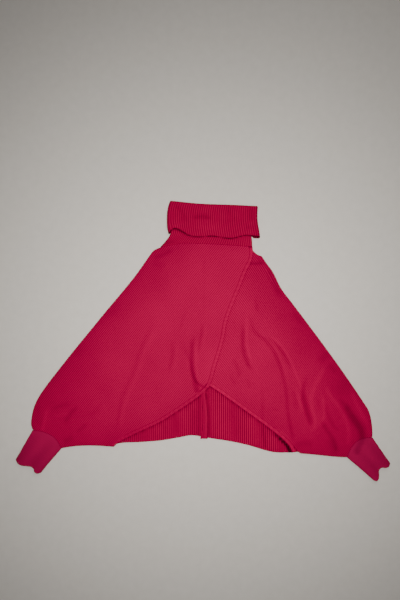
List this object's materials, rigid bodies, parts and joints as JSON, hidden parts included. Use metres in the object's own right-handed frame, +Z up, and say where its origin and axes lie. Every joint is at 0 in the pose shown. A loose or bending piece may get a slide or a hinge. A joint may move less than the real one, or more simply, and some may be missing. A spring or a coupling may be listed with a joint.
{
  "type": "knitted poncho sweater",
  "caption": "A batwing poncho sweater in ribbed knit, laid flat: crossed fronts, one lapped over the other, a turned-down ribbed turtleneck and narrow ribbed cuffs.",
  "frame": {"origin": "under the middle of the garment's outline, on the surface that it lies on", "axes": "+X runs to the wearer's left cuff, +Y to the collar, +Z up from the surface"},
  "size_m": [1.028, 0.768, 0.0159],
  "materials": {
    "body_knit": "matte ribbed knit, crimson",
    "edge_knit": "matte knitted edge band, crimson",
    "back_knit": "matte ribbed knit seen from its inside",
    "collar_knit": "matte ribbed knit, slightly deeper",
    "cuff_knit": "matte fine ribbed knit, darker"
  },
  "bodies": {
    "root": {"front_right": "body_knit", "front_left": "body_knit", "front_band_right": "edge_knit", "front_band_left": "edge_knit", "back_right": "back_knit", "back_left": "back_knit", "centre_back_seam": "back_knit", "collar": "collar_knit", "cuff_right": "cuff_knit", "cuff_left": "cuff_knit"}
  },
  "joints": []
}
